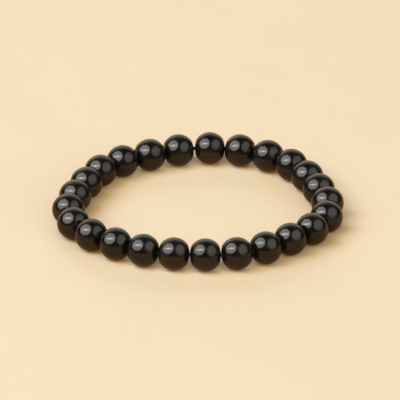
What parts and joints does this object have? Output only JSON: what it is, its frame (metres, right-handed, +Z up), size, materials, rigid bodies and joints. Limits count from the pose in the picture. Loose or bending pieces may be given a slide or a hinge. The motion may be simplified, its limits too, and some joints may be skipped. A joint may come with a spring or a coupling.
{
  "type": "gemstone bracelet",
  "caption": "Stretch bracelet: a closed loop of round polished black onyx beads, drilled and strung on an elastic cord, lying flat.",
  "frame": {"origin": "on the surface the loop lies on, under the middle of its box", "axes": "+X along the loop's longer side, +Y towards the slack gap between the first two beads, +Z up"},
  "size_m": [0.0728, 0.068, 0.0082],
  "materials": {
    "onyx": "polished",
    "elastic": "satin"
  },
  "bodies": {
    "root": {"bead_01": "onyx", "bead_02": "onyx", "bead_03": "onyx", "bead_04": "onyx", "bead_05": "onyx", "bead_06": "onyx", "bead_07": "onyx", "bead_08": "onyx", "bead_09": "onyx", "bead_10": "onyx", "bead_11": "onyx", "bead_12": "onyx", "bead_13": "onyx", "bead_14": "onyx", "bead_15": "onyx", "bead_16": "onyx", "bead_17": "onyx", "bead_18": "onyx", "bead_19": "onyx", "bead_20": "onyx", "bead_21": "onyx", "bead_22": "onyx", "bead_23": "onyx", "bead_24": "onyx", "bead_25": "onyx", "elastic_cord": "elastic"}
  },
  "joints": []
}
